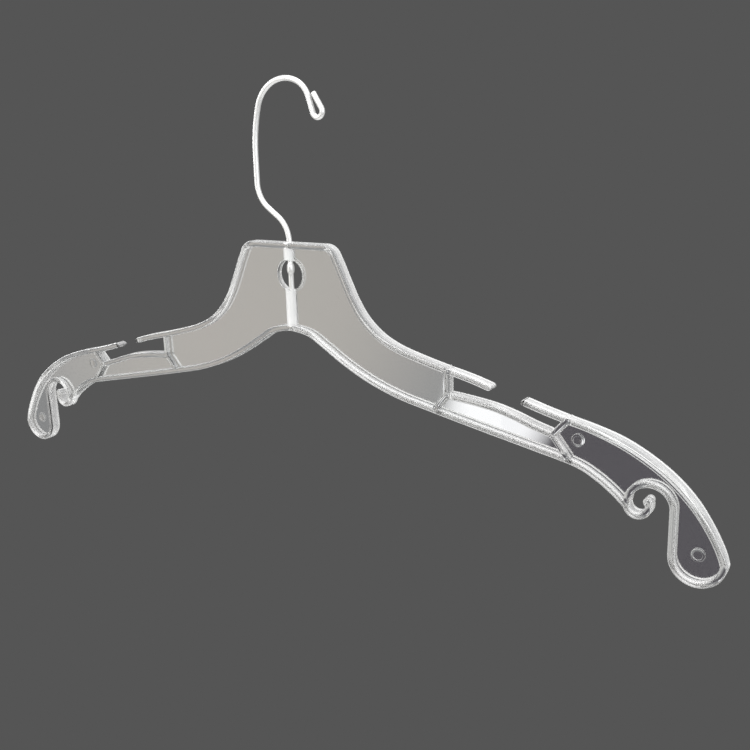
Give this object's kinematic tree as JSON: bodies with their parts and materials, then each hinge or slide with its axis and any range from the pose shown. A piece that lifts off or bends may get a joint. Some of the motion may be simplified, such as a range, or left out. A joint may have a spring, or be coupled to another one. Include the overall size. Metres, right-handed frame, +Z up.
{
  "type": "dress hanger",
  "caption": "Clear moulded dress hanger with strap notches, skirt-loop scrolls at the shoulder ends and a swivelling wire hook.",
  "frame": {"origin": "where the hook's crest rests on a rail, on the axis the hook swivels about", "axes": "+X along the shoulders, towards the side the hook opens on; +Y through the thickness; +Z up"},
  "size_m": [0.432, 0.0082, 0.2113],
  "materials": {
    "clear_plastic": "clear, polished as moulded",
    "plated_wire": "bright plated wire"
  },
  "bodies": {
    "hook": {"swivel_hook": "plated_wire"},
    "hanger": {"hanger_body": "clear_plastic"}
  },
  "joints": [
    {"name": "hook_swivel", "type": "hinge", "parent": "hook", "child": "hanger", "pos_m": [0, 0, -0.0914], "axis": [0, 0, 1], "continuous": true}
  ]
}
